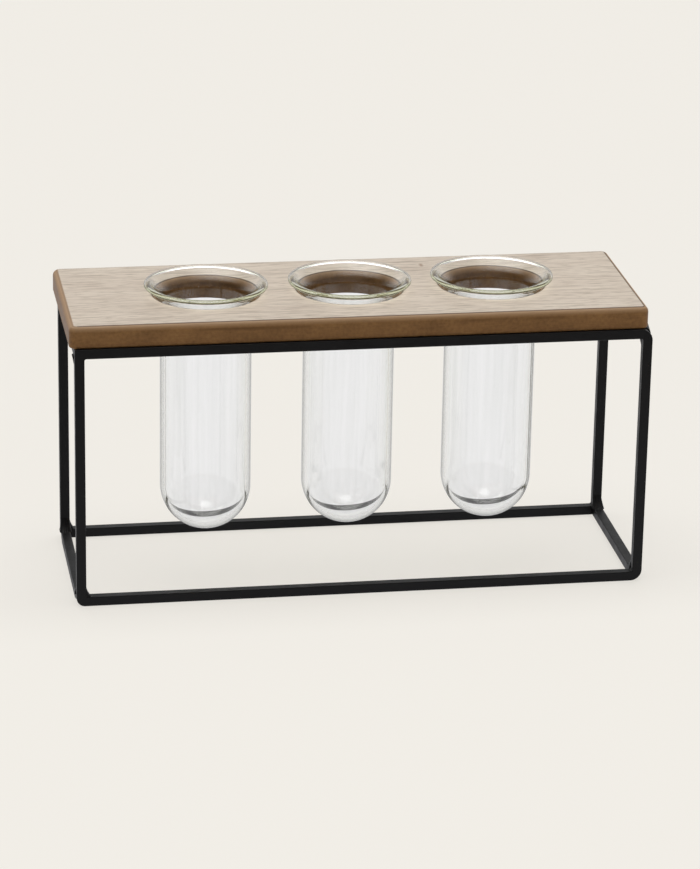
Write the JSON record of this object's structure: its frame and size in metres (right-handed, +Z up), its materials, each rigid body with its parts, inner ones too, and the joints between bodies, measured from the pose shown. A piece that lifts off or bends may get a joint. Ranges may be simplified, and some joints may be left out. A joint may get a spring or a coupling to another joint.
{
  "type": "test tube vase",
  "caption": "Test tube vase: flared glass tubes hang through a veneered wooden board on an open rectangular stand of black square bar, for single stems.",
  "frame": {"origin": "on the floor, under the middle of the stand's outline", "axes": "+X along the stand's length, to the right seen from the front; +Y to the rear; +Z up"},
  "size_m": [0.2526, 0.085, 0.1312],
  "materials": {
    "black_coat": "satin black powder coat on steel bar",
    "zinc_screw": "zinc-plated",
    "stained_core": "brown stained fibreboard edge, satin lacquer",
    "pale_veneer": "pale greyish veneer with fine grain along the length, matt lacquer",
    "clear_glass": "clear, fire-polished rim"
  },
  "bodies": {
    "stand": {"front_loop": "black_coat", "rear_loop": "black_coat", "front_loop_weld": "black_coat", "rear_loop_weld": "black_coat", "bottom_left_crossbar": "black_coat", "bottom_right_crossbar": "black_coat", "top_left_crossbar": "black_coat", "top_right_crossbar": "black_coat", "bottom_front_left_weld": "black_coat", "bottom_front_right_weld": "black_coat", "bottom_rear_left_weld": "black_coat", "bottom_rear_right_weld": "black_coat", "top_front_left_weld": "black_coat", "top_front_right_weld": "black_coat", "top_rear_left_weld": "black_coat", "top_rear_right_weld": "black_coat", "front_left_tab": "black_coat", "front_right_tab": "black_coat", "rear_left_tab": "black_coat", "rear_right_tab": "black_coat", "board_screws": "zinc_screw", "board_core": "stained_core", "top_veneer": "pale_veneer"},
    "left_tube": {"tube_left": "clear_glass"},
    "middle_tube": {"tube_middle": "clear_glass"},
    "right_tube": {"tube_right": "clear_glass"}
  },
  "joints": [
    {"name": "left_tube_lift", "type": "slide", "parent": "stand", "child": "left_tube", "axis": [0, 0, 1], "range_m": [0, 0.12]},
    {"name": "middle_tube_lift", "type": "slide", "parent": "stand", "child": "middle_tube", "axis": [0, 0, 1], "range_m": [0, 0.12]},
    {"name": "right_tube_lift", "type": "slide", "parent": "stand", "child": "right_tube", "axis": [0, 0, 1], "range_m": [0, 0.12]}
  ]
}
